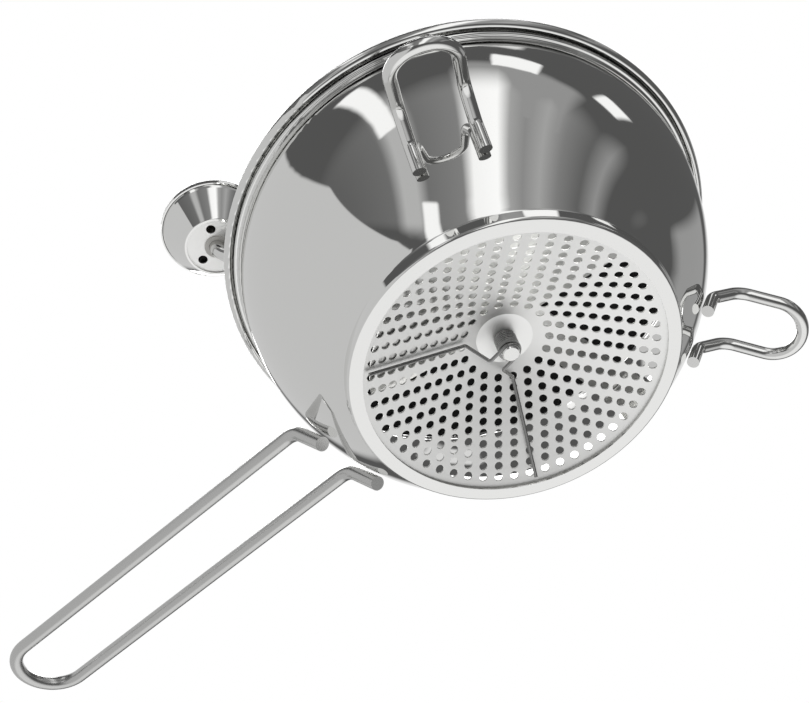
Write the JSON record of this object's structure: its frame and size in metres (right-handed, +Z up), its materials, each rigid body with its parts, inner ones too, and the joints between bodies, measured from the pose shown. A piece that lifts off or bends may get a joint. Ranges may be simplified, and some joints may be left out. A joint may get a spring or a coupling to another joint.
{
  "type": "rotary food mill",
  "caption": "Hand-cranked steel food mill: bowl with conical perforated disc, spring-loaded paddle and scraper, crossbar, long looped handle and two pot hooks.",
  "frame": {"origin": "centre of the bottom lip, in the plane it stands on", "axes": "+Z up along the bowl's axis, +X along the long handle"},
  "size_m": [0.4557, 0.2548, 0.1683],
  "materials": {
    "bowl_steel": "mirror-polished stainless steel",
    "disc_steel": "pale satin stainless steel",
    "satin_rod": "satin stainless rod",
    "polished_rod": "polished stainless rod",
    "bar_steel": "satin stainless strip",
    "blade_steel": "satin stainless sheet",
    "wire_steel": "drawn stainless wire",
    "knob_steel": "polished stainless steel",
    "knob_bush_plastic": "pale plastic"
  },
  "bodies": {
    "bowl": {"bowl": "bowl_steel", "grinding_disc": "disc_steel", "long_handle": "satin_rod", "rest_hook_left": "polished_rod", "rest_hook_right": "polished_rod", "catch_near": "bar_steel", "catch_far": "bar_steel", "shaft_spring": "wire_steel"},
    "crossbar": {"crossbar": "bar_steel", "crossbar_bush": "bar_steel"},
    "spring_seat": {"spring_cap": "wire_steel"},
    "crank": {"crank_rod": "polished_rod", "blade": "blade_steel", "blade_hub": "blade_steel", "hub_pin": "wire_steel", "scraper_wire": "wire_steel", "spindle_clip": "wire_steel"},
    "knob": {"knob_cone": "knob_steel", "knob_dome": "knob_steel", "knob_base": "disc_steel", "knob_bush": "knob_bush_plastic"}
  },
  "joints": [
    {"name": "crossbar_twist", "type": "hinge", "parent": "bowl", "child": "crossbar", "pos_m": [0, 0, 0.062], "axis": [0, 0, 1], "range_deg": [0, 35]},
    {"name": "mill_float", "type": "slide", "parent": "bowl", "child": "spring_seat", "axis": [0, 0, 1], "range_m": [0, 0.001], "stiffness_N_per_m": 2000, "springref_m": -0.01, "deforming": ["shaft_spring"]},
    {"name": "crank_turn", "type": "hinge", "parent": "spring_seat", "child": "crank", "pos_m": [0, 0, 0.0133], "axis": [0, 0, 1], "continuous": true},
    {"name": "knob_spin", "type": "hinge", "parent": "crank", "child": "knob", "pos_m": [0.09447, 0.07704, 0.1387], "axis": [0, 0, 1], "continuous": true}
  ]
}
